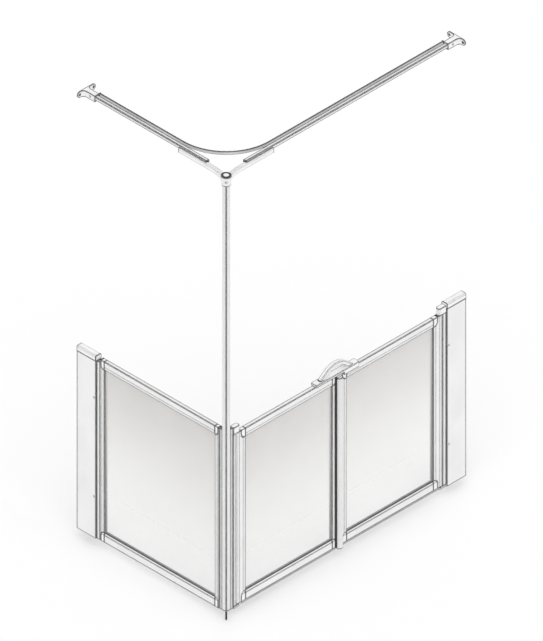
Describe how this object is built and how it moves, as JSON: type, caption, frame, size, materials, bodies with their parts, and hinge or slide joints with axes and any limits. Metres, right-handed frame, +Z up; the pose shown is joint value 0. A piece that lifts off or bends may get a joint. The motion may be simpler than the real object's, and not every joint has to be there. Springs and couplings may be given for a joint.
{
  "type": "half height shower screen",
  "caption": "Half height corner shower screen with a pair of swing doors, a fixed glazed panel, wall infills, a tall corner post and an overhead curtain rail.",
  "frame": {"origin": "axis of the corner post at the level of the shower floor", "axes": "+Z up, +X along the doors to their wall, +Y along the fixed panel to its wall; the shower is on the +X +Y side"},
  "size_m": [1.373, 0.8603, 2.1962],
  "materials": {
    "white_frame": "satin",
    "white_plastic": "satin",
    "glazing": "clear",
    "glazing_gasket": "matte",
    "black_rubber": "matte",
    "floor_rubber": "matte",
    "bush_plastic": "matte",
    "grey_plastic": "matte",
    "steel": "brushed",
    "black_steel": "satin"
  },
  "bodies": {
    "fixed_frame": {"corner_bracket": "white_plastic", "corner_post": "white_frame", "curtain_track": "white_frame", "door_side_channel": "white_frame", "door_side_infill": "white_frame", "door_side_rail_bracket": "white_plastic", "door_side_rail_tube": "white_frame", "fixed_bottom_rail": "white_frame", "fixed_corner_caps": "white_plastic", "fixed_gasket": "glazing_gasket", "fixed_pane": "glazing", "fixed_post_stile": "white_frame", "fixed_side_channel": "white_frame", "fixed_side_infill": "white_frame", "fixed_side_rail_bracket": "white_plastic", "fixed_side_rail_tube": "white_frame", "fixed_top_rail": "white_frame", "fixed_wall_stile": "white_frame", "foot_stud": "black_steel", "grub_screws": "steel", "hub_cap": "white_plastic", "hub_ring": "black_rubber", "infill_caps": "white_plastic", "infill_screws": "steel", "low_hinge_blocks": "white_plastic", "pivot_pins": "steel", "post_foot": "grey_plastic", "post_jamb": "white_frame", "post_screw": "steel", "top_hinge_blocks": "white_plastic", "track_stops": "white_plastic", "wall_channel": "white_frame", "wall_jamb": "white_frame"},
    "door_a": {"door_a_bottom_rail": "white_frame", "door_a_bushes": "bush_plastic", "door_a_corner_caps": "white_plastic", "door_a_floor_seal": "floor_rubber", "door_a_free_stile": "white_frame", "door_a_gasket": "glazing_gasket", "door_a_hinge_stile": "white_frame", "door_a_pane": "glazing", "door_a_top_rail": "white_frame", "meeting_seal": "black_rubber"},
    "door_b": {"door_b_bottom_rail": "white_frame", "door_b_bushes": "bush_plastic", "door_b_corner_caps": "white_plastic", "door_b_floor_seal": "floor_rubber", "door_b_gasket": "glazing_gasket", "door_b_hinge_stile": "white_frame", "door_b_meeting_stile": "white_frame", "door_b_pane": "glazing", "door_b_top_rail": "white_frame", "meeting_bar": "white_frame", "handle_base": "white_plastic", "handle_bow": "white_plastic", "handle_screws": "steel"}
  },
  "joints": [
    {"name": "door_a_swing", "type": "hinge", "parent": "fixed_frame", "child": "door_a", "pos_m": [0.058, 0, 0], "axis": [0, 0, 1], "range_deg": [-90, 90]},
    {"name": "door_b_swing", "type": "hinge", "parent": "fixed_frame", "child": "door_b", "pos_m": [1.212, 0, 0], "axis": [0, 0, 1], "range_deg": [-90, 90]}
  ]
}
